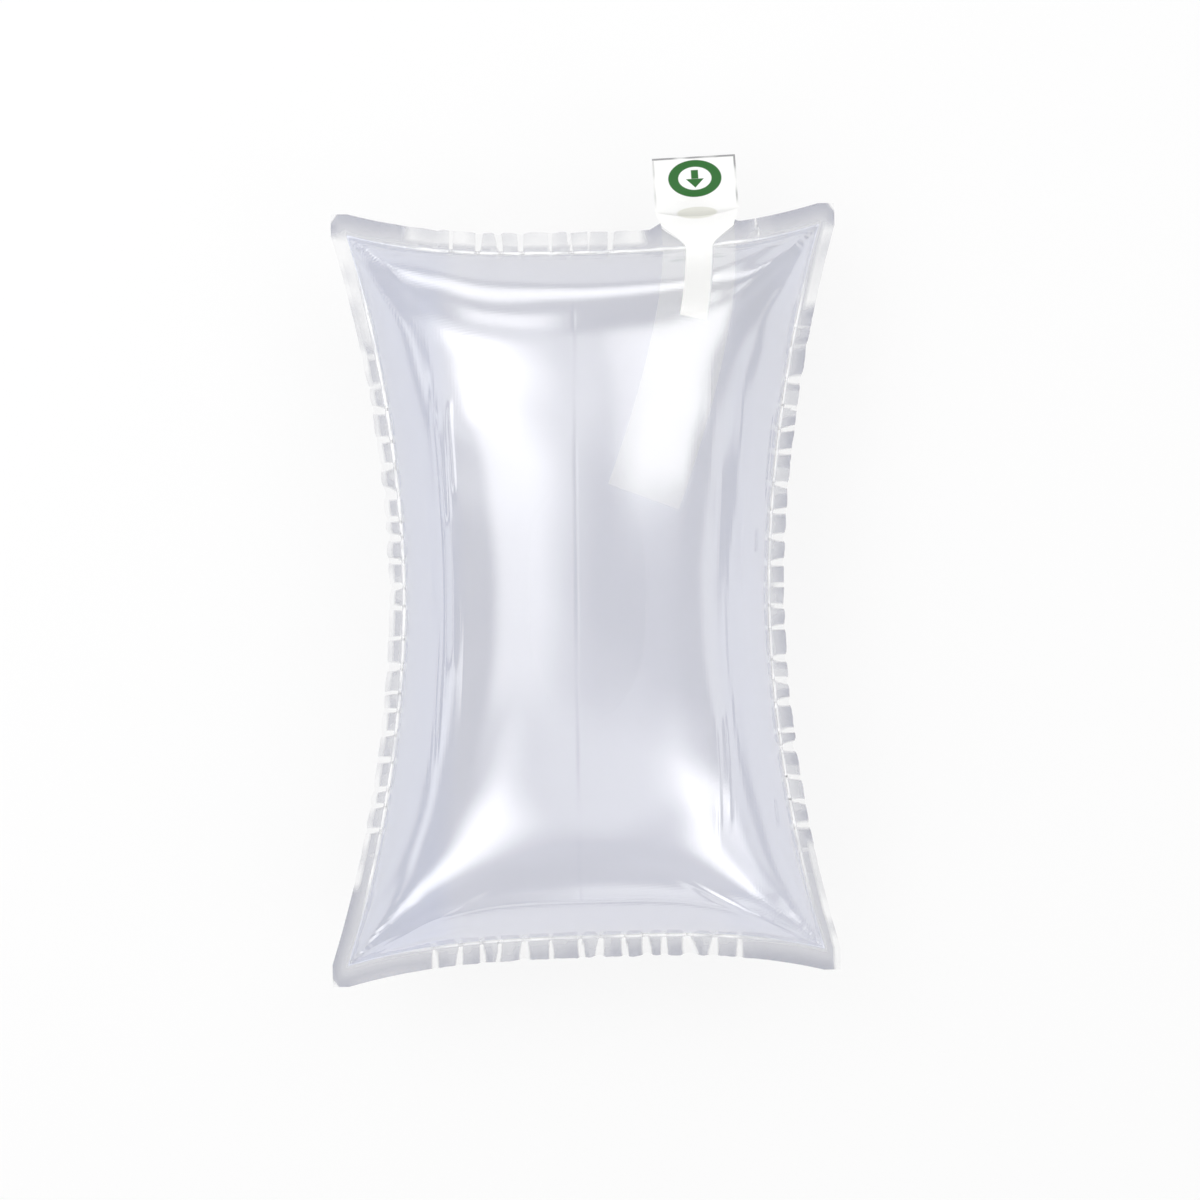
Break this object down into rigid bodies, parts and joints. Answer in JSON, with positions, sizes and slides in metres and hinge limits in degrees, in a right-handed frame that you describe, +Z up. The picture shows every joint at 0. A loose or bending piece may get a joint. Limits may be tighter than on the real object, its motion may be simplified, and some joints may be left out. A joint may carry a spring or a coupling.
{
  "type": "inflatable air pillow bag",
  "caption": "Clear air-filled pillow bag with flat sealed corners, gathered edges and a film one-way valve whose white tab stands out of the top seal; it fills empty space in shipping boxes.",
  "frame": {"origin": "under the middle of the belly, on the flat patch that the bag rests on", "axes": "+Z up out of the resting surface, +Y along the bag towards the valve, +X across the bag towards the valve's side"},
  "size_m": [0.184, 0.3019, 0.1021],
  "materials": {
    "clear_film": "clear, thin, glossy film with a faint lavender-grey cast",
    "valve_film": "thin film, printed white over the tab, the mouth and the channel"
  },
  "bodies": {
    "root": {"front_sheet": "clear_film", "back_sheet": "clear_film", "valve_front_ply": "valve_film", "valve_back_ply": "valve_film"}
  },
  "joints": []
}
